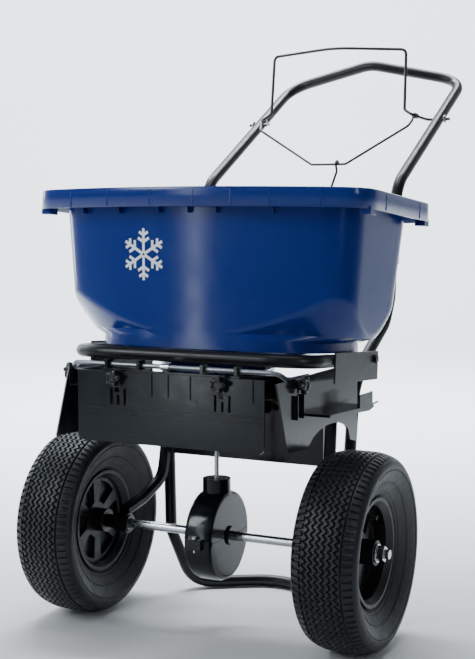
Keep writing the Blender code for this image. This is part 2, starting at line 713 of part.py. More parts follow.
def outlet_cutters(shift):
    """Two ports behind the shaft and the hole or slot for the shaft itself."""
    shaft_y = SHAFT_LOCAL_Y
    cutters = []
    for side in (-1, 1):
        cutters.append(box_mesh(*sorted_box((side * 0.010, shaft_y + 0.012 + shift, -0.35),
                                            (side * 0.040, shaft_y + 0.044 + shift, -0.25))))
    reach = -shift
    cutters.append(box_mesh((-0.0062, shaft_y - 0.0062 - reach, -0.35),
                            (0.0062, shaft_y + 0.0062, -0.25)))
    return cutters


# Baffles
def star_knob(name, finish, location, axis):
    """A five-lobed knob with its stud pointing back along its own -Z."""
    outline = []
    for k in range(40):
        a = 2 * pi * k / 40
        r = KNOB_R - 0.0025 + 0.0025 * cos(5 * a)
        outline.append((r * cos(a), r * sin(a)))
    mesh = moved_mesh(prism_mesh(outline, 0.010), Matrix.Translation((0, 0, 0.0060)))
    knob = add_part(name, mesh, finish)
    join(knob, rod_mesh((0, 0, 0.0005), (0, 0, 0.0065), 0.0070, 20))
    join(knob, rod_mesh((0, 0, -0.0105), (0, 0, 0.0010), STUD_R, 12))
    if axis == "-Y":
        knob.rotation_euler = (pi / 2, 0, 0)
    elif axis == "X":
        knob.rotation_euler = (0, pi / 2, 0)
    else:
        knob.rotation_euler = (0, -pi / 2, 0)
    knob.location = location
    return knob


def front_outline():
    """The front panel's outline as (x, z) points, with its lower corners rounded."""
    half, corner = FRONT_W2, 0.012
    right = [(half, PANEL_TOP), (half, PANEL_BOTTOM + corner)]
    for k in range(1, 5):
        a = pi / 2 * k / 4
        right.append((half - corner * (1 - cos(a)), PANEL_BOTTOM + corner * (1 - sin(a))))
    return right + [(-x, z) for x, z in reversed(right)]


def build_front_baffle():
    """The front panel with its raised lines and slots, its hanger and its knobs."""
    low, high = FRONT_Y - PANEL / 2, FRONT_Y + PANEL / 2
    flat = prism_mesh(front_outline(), PANEL)
    flat.transform(Matrix.Rotation(pi / 2, 4, "X"))
    panel = add_part("front_baffle", moved_mesh(flat, Matrix.Translation((0, high, 0))),
                     "black_plastic")
    foot, head = KNOB_Z - BAFFLE_LIFT - 0.024, KNOB_Z - 0.018
    for side in (-1, 1):
        reach = STUD_R + 0.001
        cut(panel, box_mesh((side * KNOB_X - reach, FRONT_Y - 0.01, KNOB_Z - BAFFLE_LIFT - 0.004),
                            (side * KNOB_X + reach, FRONT_Y + 0.01, KNOB_Z + 0.004)))
        for step in (-0.0125, 0, 0.0125):
            x = side * KNOB_X + step
            top = head if step else KNOB_Z - BAFFLE_LIFT - 0.008
            join(panel, box_mesh((x - 0.0025, low - 0.004, foot), (x + 0.0025, low + 0.001, top)))
    for x in (-0.030, 0.000, 0.040, 0.150):
        join(panel, box_mesh((x - 0.001, low - 0.0020, 0.424), (x + 0.001, low + 0.001, 0.4615)))
    for z in (0.394, 0.403):
        join(panel, box_mesh((-0.160, low - 0.0015, z - 0.001), (0.160, low + 0.001, z + 0.001)))
    hanger_high = high + GAP
    hanger = add_part("front_hanger",
                      box_mesh((-0.125, hanger_high, 0.436), (0.125, hanger_high + PANEL, 0.4655)),
                      "black_plastic")
    for side in (-1, 1):
        for x in (0.058, 0.118):
            hook = box_mesh((side * x - 0.003, hanger_high + 0.001, 0.4645),
                            (side * x + 0.003, ROD_Y + 0.009, 0.4800))
            join(hanger, hook)
        cut(hanger, rod_mesh((side * KNOB_X, -0.2, KNOB_Z), (side * KNOB_X, -0.1, KNOB_Z),
                             STUD_R + GAP, 12))
    cut(hanger, rod_mesh((-0.2, ROD_Y, ROD_Z), (0.2, ROD_Y, ROD_Z), ROD_R + GAP, 20))
    for side, name in ((1, "right"), (-1, "left")):
        star_knob("front_knob_" + name, "black_plastic",
                  (side * KNOB_X, low - 0.0005, KNOB_Z), "-Y")


def side_outline(side):
    """A side panel's outline as (y, z) points, with an arch over the tyre."""
    if side > 0:
        points = [(-0.205, PANEL_TOP), (-0.163, 0.350), (-0.088, PANEL_BOTTOM)]
    else:
        points = [(-0.146, PANEL_TOP), (-0.186, 0.350), (-0.088, PANEL_BOTTOM)]
    for k in range(1, 9):
        angle = pi - pi * k / 9
        points.append((0.008 + 0.090 * cos(angle), PANEL_BOTTOM - 0.006 + 0.032 * sin(angle)))
    points += [(0.103, 0.330), (0.135, 0.322), (0.135, PANEL_TOP)]
    return points


def build_side_baffles():
    for side, name in ((1, "right"), (-1, "left")):
        mesh = prism_mesh(side_outline(side), PANEL)
        # the outline's own x and y become the world's Y and Z, and its thickness runs along X
        swap = Matrix(((0, 0, 1, 0), (1, 0, 0, 0), (0, 1, 0, 0), (0, 0, 0, 1)))
        mesh.transform(swap)
        mesh.transform(Matrix.Translation((side * SIDE_X - PANEL / 2, 0, 0)))
        bm = bmesh.new()
        bm.from_mesh(mesh)
        panel = add_part("side_baffle_" + name, mesh_from(bm, "panel"), "black_plastic")
        slot = box_mesh((side * SIDE_X - 0.01, SIDE_KNOB_Y - STUD_R - 0.001,
                         KNOB_Z - SIDE_LIFT - 0.004),
                        (side * SIDE_X + 0.01, SIDE_KNOB_Y + STUD_R + 0.001, KNOB_Z + 0.004))
        cut(panel, slot)
        face = SIDE_X + PANEL / 2
        for step in (-0.012, 0.012):
            y = SIDE_KNOB_Y + step
            join(panel, box_mesh(*sorted_box((side * (face - 0.001), y - 0.001, 0.398),
                                             (side * (face + 0.006), y + 0.001, 0.436))))
        inner = SIDE_X - PANEL / 2 - GAP
        hanger = add_part("side_hanger_" + name,
                          box_mesh(*sorted_box((side * (inner - PANEL), -0.150, 0.430),
                                               (side * inner, 0.060, 0.4600))), "black_plastic")
        cut(hanger, rod_mesh((side * 0.15, SIDE_KNOB_Y, KNOB_Z), (side * 0.25, SIDE_KNOB_Y, KNOB_Z),
                             STUD_R + GAP, 12))
        star_knob("side_knob_" + name, "black_plastic",
                  (side * (face + 0.0005), SIDE_KNOB_Y, KNOB_Z), "X" if side > 0 else "-X")


def build_rear_baffle():
    """A fixed sheet between the struts that stops salt from reaching the operator."""
    sheet = add_part("rear_baffle", box_mesh((-0.150, 0.116, 0.275), (0.150, 0.119, 0.430)),
                     "black_plastic")
    for side in (-1, 1):
        join(sheet, box_mesh(*sorted_box((side * 0.1475, 0.118, 0.275),
                                         (side * 0.1500, 0.130, 0.430))))
    return sheet


def build_shelf():
    """The thin shelf, ribbed tab and pointer that stand out from the right side panel."""
    face = SIDE_X + PANEL / 2
    x0, x1 = face - 0.0005, face + 0.034
    panel = bpy.data.objects["side_baffle_right"]
    slope = [(-0.075, 0.395), (0.105, 0.382), (0.128, 0.386), (0.128, 0.389), (-0.073, 0.399)]
    mesh = prism_mesh(slope, x1 - x0)
    swap = Matrix(((0, 0, 1, x0), (1, 0, 0, 0), (0, 1, 0, 0), (0, 0, 0, 1)))
    mesh.transform(swap)
    bm = bmesh.new()
    bm.from_mesh(mesh)
    join(panel, mesh_from(bm, "shelf"))
    join(panel, box_mesh((x1 - 0.0035, 0.060, 0.386), (x1 - 0.0005, 0.122, 0.414)))
    join(panel, rod_mesh((x1 - 0.006, 0.110, 0.3885), (x1 - 0.006, 0.162, 0.3900), 0.0018, 10))


def build_baffle_rod():
    """The rod that the front hanger hooks over; its ends run back to the side plates."""
    half = [(ROD_X, -0.060, ROD_Z - 0.014), (ROD_X, -0.140, ROD_Z - 0.012), (0.186, ROD_Y, ROD_Z),
            (0.0, ROD_Y, ROD_Z)]
    corners = [Vector(p) for p in half] + mirrored(half[:-1])
    path = rounded_path(corners, [0, 0.02, 0.02, 0.0, 0.02, 0.02, 0], steps=3)
    add_part("baffle_rod", tube_mesh(path, ROD_R), "zinc")
    clip = [(ROD_R + GAP, -0.008), (ROD_R + GAP, 0.008), (ROD_R + 0.0016, 0.008),
            (ROD_R + 0.0016, -0.008)]
    part = add_part("rod_clip", turned_mesh(clip, "X", 24), "zinc", (-0.012, ROD_Y, ROD_Z))
    join(part, box_mesh((-0.008, ROD_R + 0.0008, -0.0015), (0.008, 0.0200, 0.0005)))


# Handle wires
def build_bail():
    """The squeeze bar; its two ends turn in holes through the handle tubes."""
    axis = bpy.data.objects.new("bail_axis", None)
    PARTS.objects.link(axis)
    axis.location = (0, PIVOT_Y, PIVOT_Z)
    half = [(0.224, 0, 0), (0.177, 0, 0), (0.165, CRANK_Y, CRANK_Z), (0.147, -0.056, 0.017),
            (0.145, -0.044, 0.138), (0.0, -0.068, 0.146)]
    corners = [Vector(p) for p in half] + mirrored(half[:-1])
    bends = [0, 0.010, 0.008, 0.008, 0.012, 0.20, 0.012, 0.008, 0.008, 0.010, 0]
    bail = add_part("bail", tube_mesh(rounded_path(corners, bends, steps=2), WIRE_R), "black_wire")
    lower = [(0.166, CRANK_Y, CRANK_Z - 0.0062), (0.166, -0.0655, -0.0060),
             (0.162, -0.0780, -0.0170), (0.037, -0.0980, -0.0910)]
    corners = [Vector(p) for p in lower] + mirrored(lower)
    path = rounded_path(corners, [0, 0.004, 0.010, 0.010, 0.010, 0.010, 0.004, 0], steps=2)
    bridle = add_part("bridle", tube_mesh(path, 0.0025), "black_wire")
    for obj in (bail, bridle):
        obj.parent = axis
    for side, name in ((1, "right"), (-1, "left")):
        ring = [(WIRE_R + GAP, -0.005), (WIRE_R + GAP, 0.005), (0.0058, 0.005), (0.0058, -0.005)]
        crank = Vector((side * -0.012, CRANK_Y, CRANK_Z))
        along = crank.to_track_quat("Z", "Y").to_matrix().to_4x4()
        middle = Matrix.Translation(Vector((side * 0.177, 0, 0)) + crank * 0.80)
        clip = moved_mesh(turned_mesh(ring, steps=16), middle @ along)
        part = add_part("bridle_clip_" + name, clip, "black_plastic")
        part.parent = axis
        nut_x = HANDLE_X + TUBE_R
        ring = [(WIRE_R + GAP, 0), (WIRE_R + GAP, 0.004), (0.0085, 0.0015), (0.0085, 0)]
        mesh = turned_mesh(ring, "X", 20)
        if side < 0:
            mesh = moved_mesh(mesh, Matrix.Rotation(pi, 4, "Z"))
        nut = add_part("push_nut_" + name, mesh, "zinc", (side * (nut_x + 0.002), 0, 0))
        nut.parent = axis
    return axis


def build_pull_rod():
    """The wire from the bridle down behind the hopper to the gate's tail."""
    hook = [(HOOK_X, HOOK_Y + 0.0068 * cos(a), HOOK_Z + 0.0068 * sin(a))
            for a in (radians(30 * k) for k in range(0, 8))]
    points = hook + [(HOOK_X, HOOK_Y - 0.0010, HOOK_Z - 0.0140), (-0.006, 0.328, 0.540),
                     (TAIL_X, 0.264, 0.432), (TAIL_X, 0.2580, 0.4130), (TAIL_X, 0.2370, 0.4130),
                     (TAIL_X, 0.2370, 0.4380)]
    path = rounded_path([Vector(p) for p in points], 0.008, steps=2)
    return add_part("pull_rod", tube_mesh(path, 0.0024), "black_wire")


def stand_on_origin():
    """Hang everything without a parent on one empty that centres the bounding box."""
    origin = bpy.data.objects.new("spreader_origin", None)
    tops = [obj for obj in PARTS.objects if obj.parent is None]
    PARTS.objects.link(origin)
    for obj in tops:
        obj.parent = origin
    origin.location = (0, AXLE_Y, 0)


clear_scene()
PARTS = new_collection("salt_spreader")
CUTTERS = new_collection("cutters")


def main():
    tilt = bpy.data.objects.new("hopper_tilt", None)
    PARTS.objects.link(tilt)
    tilt.location = (0, HOPPER_Y, HOPPER_Z)
    tilt.rotation_euler = (HOPPER_TILT, 0, 0)
    bpy.context.view_layer.update()
    build_frame()
    build_base_loop(tilt)
    build_side_plates(tilt)
    build_struts()
    for side, name in ((1, "right"), (-1, "left")):
        build_wheel(side, name)
    build_axle()
    build_crown_gear()
    build_pinion()
    build_gearbox()
    build_impeller()
    build_hopper(tilt)
    build_gate(tilt)
    build_front_baffle()
    build_side_baffles()
    build_rear_baffle()
    build_shelf()
    build_baffle_rod()
    build_bail()
    build_pull_rod()
    stand_on_origin()


main()
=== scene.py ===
"""Looks of the walk-behind salt spreader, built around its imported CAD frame.

Every size is in metres, in the frame's own axes: +X to the right, +Y towards the handle
and +Z up.  Round tubes, tyres and the hopper are rebuilt here with finer shapes; every
other part is a softened copy of its CAD solid.
"""
import json
from math import cos, pi, radians, sin, sqrt

import bmesh
import bpy
from mathutils import Matrix, Vector


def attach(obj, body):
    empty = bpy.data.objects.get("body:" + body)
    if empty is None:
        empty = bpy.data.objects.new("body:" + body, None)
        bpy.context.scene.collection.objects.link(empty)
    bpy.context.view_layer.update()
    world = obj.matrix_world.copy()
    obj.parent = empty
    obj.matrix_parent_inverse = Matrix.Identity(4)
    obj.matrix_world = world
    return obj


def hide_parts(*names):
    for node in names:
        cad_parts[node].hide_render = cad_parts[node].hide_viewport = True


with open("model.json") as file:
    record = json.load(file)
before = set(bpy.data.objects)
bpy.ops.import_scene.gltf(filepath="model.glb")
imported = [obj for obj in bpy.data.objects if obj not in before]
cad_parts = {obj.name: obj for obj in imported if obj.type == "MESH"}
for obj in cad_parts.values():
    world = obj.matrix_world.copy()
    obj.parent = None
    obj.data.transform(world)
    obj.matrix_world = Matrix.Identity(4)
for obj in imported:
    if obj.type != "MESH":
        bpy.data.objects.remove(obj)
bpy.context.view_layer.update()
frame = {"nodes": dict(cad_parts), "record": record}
NODES = frame["nodes"]
BODY_OF = {node: body for body, nodes in frame["record"]["behaviour"]["bodies"].items()
           for node in nodes}
SLOT_OF = {part["node"]: part["material_slot"] for part in frame["record"]["subparts"]}

# Driving dimensions, the same as the frame's own
AXLE_Y = -0.2848
WHEEL_R = 0.165
TRACK = 0.519
TYRE_W = 0.1115
RIM_W = 0.065
TUBE_R = 0.011
HANDLE_X = 0.200
PIVOT_Y = 0.600
PIVOT_Z = 0.909
HOPPER_Y = 0.0745
HOPPER_Z = 0.7458
HOPPER_TILT = radians(-4.33)
RIM_W2 = 0.308
RIM_D2 = 0.1625
RIM_BOW = 0.045
RIM_SKIRT = 0.032
RIM_LEDGE = 0.030
CORNER_R = 0.040
DRAFT = 0.076
BOWL_TOP = 0.233
BOWL_W2 = 0.2605
BOWL_D2 = 0.162
BOWL_SLOPE = 3.35
FOOT_TOP = 0.2435
FOOT_BOTTOM = 0.2615
FOOT_W2 = 0.216
FOOT_D2 = 0.160
FLOOR_Y = -0.047
FLOOR_Z = -0.300
OUTLET_R = 0.076
WALL = 0.0035
LOOP_W2 = 0.2185
LOOP_Z = -FOOT_BOTTOM - TUBE_R - 0.0006
LEG_Y = 0.160
ROD_X = 0.195
ROD_Y = -0.157
ROD_Z = 0.472
ROD_R = 0.004

BAIL_R = 0.003
BRIDLE_R = 0.0025
PULL_ROD_R = 0.0024
HOOK_X = 0.019            # the pull rod's hook, where it hangs on the bridle
HOOK_R = 0.0068

# Tyre
TREAD_HALF = 0.046        # how far the tread reaches to each side of the tyre's middle
TREAD_DEPTH = 0.0032
TREAD_FROM_R = 0.150      # the tread is cut only outside this radius
TREAD_WAVES = 84          # zigzags round the tyre
GROOVE_STEP = 0.0105      # between two zigzag grooves, across the tyre
GROOVE_SWAY = 0.55        # how far a groove swings, in steps
GROOVED_TO = 0.70         # the grooves' and lugs' bounds, as shares of TREAD_HALF
LUGS_FROM = 0.78
LUGS_TO = 1.08
WALL_RINGS = (0.0995, 0.1165, 0.1385)

# Knobs and front mark
KNOB_R = 0.0145
KNOB_X = 0.095
KNOB_Z = 0.452
STUD_R = 0.003
PANEL = 0.003
FRONT_Y = -0.170
SIDE_X = 0.2045
SIDE_KNOB_Y = -0.125
FLAKE_X = -0.086
FLAKE_DEPTH = 0.108       # below the rim
FLAKE_ARM = 0.043
FLAKE_HALF = 0.0024       # half the width of a bar

# Under the hopper's rim, the places of the moulding lines and gussets from side to side
SKIRT_LINES = (-0.220, -0.140, -0.055, 0.025, 0.090, 0.155, 0.235)
GUSSETS = (-0.210, -0.130, -0.050, 0.005, 0.055, 0.150)

# Softened edges, and the angles above which an edge is drawn sharp
SOFT_EDGE = 0.0006
SHARP = radians(32)
HOPPER_SHARP = radians(28)
TYRE_SHARP = radians(40)
TUBE_SHARP = radians(50)

# Studio and camera
STUDIO_R = 6.0
STUDIO_BEND = 1.5
STUDIO_TOP = 5.0
WORLD_LIGHT = 0.16
COOL = (0.86, 0.94, 1.0)
LIGHT_AIM = (0, -0.25, 0.55)
SOFTBOXES = (             # name, place, aim, size and energy
    ("key", (-1.5, -2.3, 1.9), LIGHT_AIM, (0.7, 1.2), 34),
    ("front_strip", (-1.17, -2.78, 0.88), (0, -0.45, 0.88), (0.26, 1.70), 7),
    ("right_edge", (1.9, -1.7, 1.3), LIGHT_AIM, (0.16, 1.3), 8),
    ("left_edge", (-2.3, 0.2, 1.2), LIGHT_AIM, (0.3, 1.6), 16),
    ("overhead", (0.0, -0.2, 3.0), LIGHT_AIM, (1.6, 1.6), 34),
    ("backdrop", (-0.8, 1.2, 3.4), (-2.4, 4.6, 0.6), (3.0, 1.2), 1150),
)
CAMERA_AT = Vector((0.998, -2.239, 0.716))
CAMERA_AIM = Vector((0.04, -0.285, 0.522))
CAMERA_LENS = 70.37
SENSOR_W = 36.0


# Materials

def noise_node(nodes, links, coords, scale, detail=3.0, stretch=(1, 1, 1)):
    mapping = nodes.new("ShaderNodeMapping")
    mapping.inputs["Scale"].default_value = stretch
    texture = nodes.new("ShaderNodeTexNoise")
    texture.inputs["Scale"].default_value = scale
    texture.inputs["Detail"].default_value = detail
    links.new(coords.outputs["Object"], mapping.inputs["Vector"])
    links.new(mapping.outputs["Vector"], texture.inputs["Vector"])
    return texture


def surface(name, dark, light, rough, metallic=0.0, mottle=9.0, grain=900.0, bump=0.00004,
            coat=0.0, stretch=(1, 1, 1), wear=None, specular=0.5):
    """A material whose colour, roughness and fine grain all vary over the surface."""
    material = bpy.data.materials.new(name)
    material.use_nodes = True
    nodes, links = material.node_tree.nodes, material.node_tree.links
    shader = nodes["Principled BSDF"]
    shader.inputs["Metallic"].default_value = metallic
    shader.inputs["Coat Weight"].default_value = coat
    shader.inputs["Coat Roughness"].default_value = 0.12
    shader.inputs["Specular IOR Level"].default_value = specular
    coords = nodes.new("ShaderNodeTexCoord")
    broad = noise_node(nodes, links, coords, mottle, 4.0)
    tint = nodes.new("ShaderNodeMix")
    tint.data_type = "RGBA"
    tint.inputs["A"].default_value = (*dark, 1)
    tint.inputs["B"].default_value = (*light, 1)
    links.new(broad.outputs["Fac"], tint.inputs["Factor"])
    colour = tint.outputs["Result"]
    if wear:
        geometry = nodes.new("ShaderNodeNewGeometry")
        edge = nodes.new("ShaderNodeMapRange")
        edge.inputs["From Min"].default_value = 0.53
        edge.inputs["From Max"].default_value = 0.62
        edge.inputs["To Max"].default_value = 0.5
        worn = nodes.new("ShaderNodeMix")
        worn.data_type = "RGBA"
        worn.inputs["B"].default_value = (*wear, 1)
        links.new(geometry.outputs["Pointiness"], edge.inputs["Value"])
        links.new(edge.outputs["Result"], worn.inputs["Factor"])
        links.new(colour, worn.inputs["A"])
        colour = worn.outputs["Result"]
    links.new(colour, shader.inputs["Base Color"])
    fine = noise_node(nodes, links, coords, mottle * 6, 5.0, stretch)
    polish = nodes.new("ShaderNodeMapRange")
    polish.inputs["From Min"].default_value = 0.3
    polish.inputs["From Max"].default_value = 0.7
    polish.inputs["To Min"].default_value = rough[0]
    polish.inputs["To Max"].default_value = rough[1]
    links.new(fine.outputs["Fac"], polish.inputs["Value"])
    links.new(polish.outputs["Result"], shader.inputs["Roughness"])
    texture = noise_node(nodes, links, coords, grain, 2.0, stretch)
    relief = nodes.new("ShaderNodeBump")
    relief.inputs["Strength"].default_value = 1.0
    relief.inputs["Distance"].default_value = bump
    links.new(texture.outputs["Fac"], relief.inputs["Height"])
    links.new(relief.outputs["Normal"], shader.inputs["Normal"])
    return material


MATERIALS = {
    "blue_plastic": surface("hopper_blue", (0.0004, 0.0190, 0.175), (0.0006, 0.0240, 0.210),
                            (0.15, 0.23), mottle=4, grain=260, bump=0.000025, coat=0.1,
                            specular=0.38),
    "black_paint": surface("satin_black_powder_coat", (0.0040, 0.0042, 0.0050),
                           (0.0070, 0.0072, 0.0085), (0.30, 0.40), grain=500, bump=0.000010,
                           specular=0.35),
    "black_plastic": surface("moulded_black", (0.0026, 0.0042, 0.0060), (0.0048, 0.0074, 0.0100),
                             (0.12, 0.22), grain=300, bump=0.000012,
                             wear=(0.012, 0.016, 0.020), specular=0.34),
    "rim_plastic": surface("wheel_black", (0.0030, 0.0032, 0.0038), (0.0060, 0.0062, 0.0070),
                           (0.34, 0.48), grain=700, bump=0.000030,
                           wear=(0.014, 0.014, 0.016)),
    "tyre_rubber": surface("tyre_black", (0.0045, 0.0055, 0.0070), (0.0090, 0.0105, 0.0130),
                           (0.40, 0.56), mottle=14, grain=500, bump=0.000040,
                           wear=(0.024, 0.026, 0.030)),
    "valve_rubber": surface("stem_rubber", (0.005, 0.005, 0.005), (0.009, 0.009, 0.009),
                            (0.50, 0.65), grain=700, bump=0.000030),
    "zinc_steel": surface("bright_zinc", (0.50, 0.52, 0.55), (0.66, 0.68, 0.70),
                          (0.16, 0.30), metallic=1.0, mottle=20, grain=900, bump=0.000015,
                          stretch=(1, 3, 3)),
    "black_wire": surface("coated_wire", (0.0040, 0.0040, 0.0045), (0.0080, 0.0080, 0.0090),
                          (0.26, 0.38), grain=600, bump=0.000020, coat=0.1),
    "nylon": surface("black_nylon", (0.006, 0.006, 0.007), (0.010, 0.010, 0.011), (0.34, 0.46),
                     bump=0.000015),
    "gear_nylon": surface("gear_grey", (0.20, 0.20, 0.21), (0.28, 0.28, 0.29),
                          (0.38, 0.52), bump=0.000015),
}
KNOB_BLACK = surface("knob_black", (0.0018, 0.0020, 0.0026), (0.0035, 0.0040, 0.0050),
                     (0.22, 0.34), mottle=20, grain=300, bump=0.000015)
RODS = surface("dull_zinc_rod", (0.20, 0.21, 0.23), (0.30, 0.31, 0.33), (0.30, 0.42),
               metallic=1.0, mottle=20, grain=900, bump=0.000015)


# Building pieces

def hopper_place():
    """Where the hopper's own frame stands: at its rim, tilted with it."""
    return (Matrix.Translation((0, AXLE_Y + HOPPER_Y, HOPPER_Z))
            @ Matrix.Rotation(HOPPER_TILT, 4, "X"))


def finish_piece(obj, nodes, slot=None):
    """Give a piece its material, hang it on its nodes' body and let it stand for them."""
    slot = slot or SLOT_OF[nodes[0]]
    obj.data.materials.clear()
    obj.data.materials.append(MATERIALS[slot])
    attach(obj, BODY_OF[nodes[0]])
    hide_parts(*nodes)
    return obj


def new_object(name, bm):
    mesh = bpy.data.meshes.new(name)
    bmesh.ops.recalc_face_normals(bm, faces=bm.faces)
    bm.to_mesh(mesh)
    bm.free()
    obj = bpy.data.objects.new(name, mesh)
    bpy.context.scene.collection.objects.link(obj)
    return obj


def smooth(obj, angle=SHARP):
    obj.data.shade_smooth()
    obj.data.set_sharp_from_angle(angle=angle)


def softened(node, edge=SOFT_EDGE):
    """A copy of a CAD solid with small rounded edges that catch the light."""
    bm = bmesh.new()
    bm.from_mesh(NODES[node].data)
    bmesh.ops.remove_doubles(bm, verts=bm.verts, dist=0.00001)
    bmesh.ops.dissolve_limit(bm, angle_limit=radians(0.5), verts=bm.verts, edges=bm.edges)
    obj = new_object(node + "_look", bm)
    if edge:
        bevel = obj.modifiers.new("soft_edge", "BEVEL")
        bevel.width = edge
        bevel.segments = 2
        bevel.limit_method = "ANGLE"
        bevel.angle_limit = SHARP
        bevel.use_clamp_overlap = True
    smooth(obj)
    normals = obj.modifiers.new("even_shading", "WEIGHTED_NORMAL")
    normals.keep_sharp = True
    finish_piece(obj, [node])


def mirrored(points):
    return [Vector((-p[0], p[1], p[2])) for p in reversed(points)]


def rounded_path(corners, radius, steps=10):
    """Points along straight runs whose corners are rounded with a radius."""
    path = []
    for i, corner in enumerate(corners):
        here = Vector(corner)
        if i in (0, len(corners) - 1):
            path.append(here)
            continue
        before = Vector(corners[i - 1]) - here
        after = Vector(corners[i + 1]) - here
        bend = radius[i] if isinstance(radius, (list, tuple)) else radius
        half = before.angle(after) / 2
        trim = min(bend / max(sin(half) / cos(half), 0.01),
                   0.48 * before.length, 0.48 * after.length)
        start = here + before.normalized() * trim
        end = here + after.normalized() * trim
        for k in range(steps + 1):
            t = k / steps
            path.append(start * (1 - t) ** 2 + here * 2 * t * (1 - t) + end * t ** 2)
    return path


def round_tube(node, path, radius, matrix=None):
    """A smooth tube along a path, in the axle's own frame unless a matrix is given."""
    matrix = matrix or Matrix.Translation((0, AXLE_Y, 0))
    curve = bpy.data.curves.new(node, "CURVE")
    curve.dimensions = "3D"
    curve.bevel_depth = radius * 0.995
    curve.bevel_resolution = 6
    curve.use_fill_caps = True
    spline = curve.splines.new("POLY")
    spline.points.add(len(path) - 1)
    for point, place in zip(spline.points, path):
        point.co = (*(matrix @ place), 1)
    holder = bpy.data.objects.new(node, curve)
    bpy.context.scene.collection.objects.link(holder)
    bpy.context.view_layer.update()
    mesh = bpy.data.meshes.new_from_object(
        holder.evaluated_get(bpy.context.evaluated_depsgraph_get()))
    bpy.data.objects.remove(holder)
    bpy.data.curves.remove(curve)
    obj = bpy.data.objects.new(node + "_look", mesh)
    bpy.context.scene.collection.objects.link(obj)
    smooth(obj, TUBE_SHARP)
    return finish_piece(obj, [node])


# Tubes and wires

def build_tubes():
    leg = [(0.196, 0.337, 0.655), (0.196, 0.328, 0.560), (0.196, 0.299, 0.514),
           (0.195, 0.236, 0.479), (0.193, 0.190, 0.450), (0.190, LEG_Y, 0.405),
           (0.183, LEG_Y, 0.285), (0.176, LEG_Y - 0.006, 0.120),
           (0.150, 0.190, TUBE_R), (0.0, 0.285, TUBE_R)]
    corners = leg + mirrored(leg[:-1])
    radii = [0.06] * len(corners)
    radii[len(leg) - 1] = 0.10
    round_tube("main_frame", rounded_path(corners, radii), TUBE_R)
    half = [(0.196, 0.3378, 0.6610), (0.196, 0.3425, 0.7000), (HANDLE_X, 0.352, 0.772),
            (HANDLE_X, 0.7690, 1.0005), (0.0, 0.7455, 1.0424)]
    bends = [0, 0.05, 0.09, 0.055, 0.090, 0.055, 0.09, 0.05, 0]
    round_tube("handle", rounded_path(half + mirrored(half[:-1]), bends), TUBE_R)
    half = [(LOOP_W2, 0.115, LOOP_Z), (LOOP_W2, -0.150, LOOP_Z), (0.165, -0.1745, LOOP_Z)]
    bends = [0, 0.05, 0.10, 0.10, 0.05, 0]
    round_tube("base_loop", rounded_path(half + mirrored(half), bends), TUBE_R,
               hopper_place())
    half = [(ROD_X, -0.060, ROD_Z - 0.014), (ROD_X, -0.140, ROD_Z - 0.012),
            (0.186, ROD_Y, ROD_Z), (0.0, ROD_Y, ROD_Z)]
    bends = [0, 0.02, 0.02, 0.0, 0.02, 0.02, 0]
    rod = round_tube("baffle_rod", rounded_path(half + mirrored(half[:-1]), bends), ROD_R)
    rod.data.materials.clear()
    rod.data.materials.append(RODS)
    pivot = Matrix.Translation((0, AXLE_Y + PIVOT_Y, PIVOT_Z))
    half = [(0.224, 0, 0), (0.177, 0, 0), (0.165, -0.060, 0.006), (0.147, -0.056, 0.017),
            (0.145, -0.044, 0.138), (0.0, -0.068, 0.146)]
    bends = [0, 0.010, 0.008, 0.008, 0.012, 0.20, 0.012, 0.008, 0.008, 0.010, 0]
    round_tube("bail", rounded_path(half + mirrored(half[:-1]), bends), BAIL_R, pivot)
    half = [(0.166, -0.060, -0.0002), (0.166, -0.0655, -0.0060), (0.162, -0.0780, -0.0170),
            (0.037, -0.0980, -0.0910)]
    bends = [0, 0.004, 0.010, 0.010, 0.010, 0.010, 0.004, 0]
    round_tube("bridle", rounded_path(half + mirrored(half), bends), BRIDLE_R, pivot)
    hook_y, hook_z, tail = PIVOT_Y - 0.098, PIVOT_Z - 0.091, -0.015
    points = [Vector((HOOK_X, hook_y + HOOK_R * cos(a), hook_z + HOOK_R * sin(a)))
              for a in (radians(10 * k) for k in range(22))]
    points += [Vector(p) for p in (
        (HOOK_X, hook_y - 0.0010, hook_z - 0.0140), (-0.006, 0.328, 0.540),
        (tail, 0.264, 0.432), (tail, 0.2580, 0.4130), (tail, 0.2370, 0.4130),
        (tail, 0.2370, 0.4380))]
    round_tube("pull_rod", rounded_path(points, 0.008, 4), PULL_ROD_R)


# Hopper

def bowed_outline(w2, d2, bow, corner):
    """A rounded rectangle whose front and rear bow outwards, as (x, y) points."""
    across, around, along = 48, 10, 16
    quarter = []
    for k in range(across // 2 + 1):
        x = (w2 - corner) * 2 * k / across
        quarter.append((x, -d2 - bow * (1 - (x / w2) ** 2)))
    start, middle = Vector(quarter[-1]), Vector((w2, -d2))
    end = Vector((w2, -d2 + corner))
    for k in range(1, around + 1):
        t = k / around
        quarter.append(tuple(start * (1 - t) ** 2 + middle * 2 * t * (1 - t) + end * t ** 2))
    for k in range(1, along // 2 + 1):
        quarter.append((w2, (-d2 + corner) * (1 - 2 * k / along)))
    rear = [(x, -y) for x, y in reversed(quarter)][:-1]
    left = [(-x, -y) for x, y in quarter][:-1]
    front = [(-x, y) for x, y in reversed(quarter)][:-1]
    return quarter[:-1] + rear + left + front


def smaller(a, b, blend=0.010):
    """The smaller of two numbers, with a soft turn where they meet."""
    h = max(blend - abs(a - b), 0.0) / blend
    return min(a, b) - h * h * blend / 4


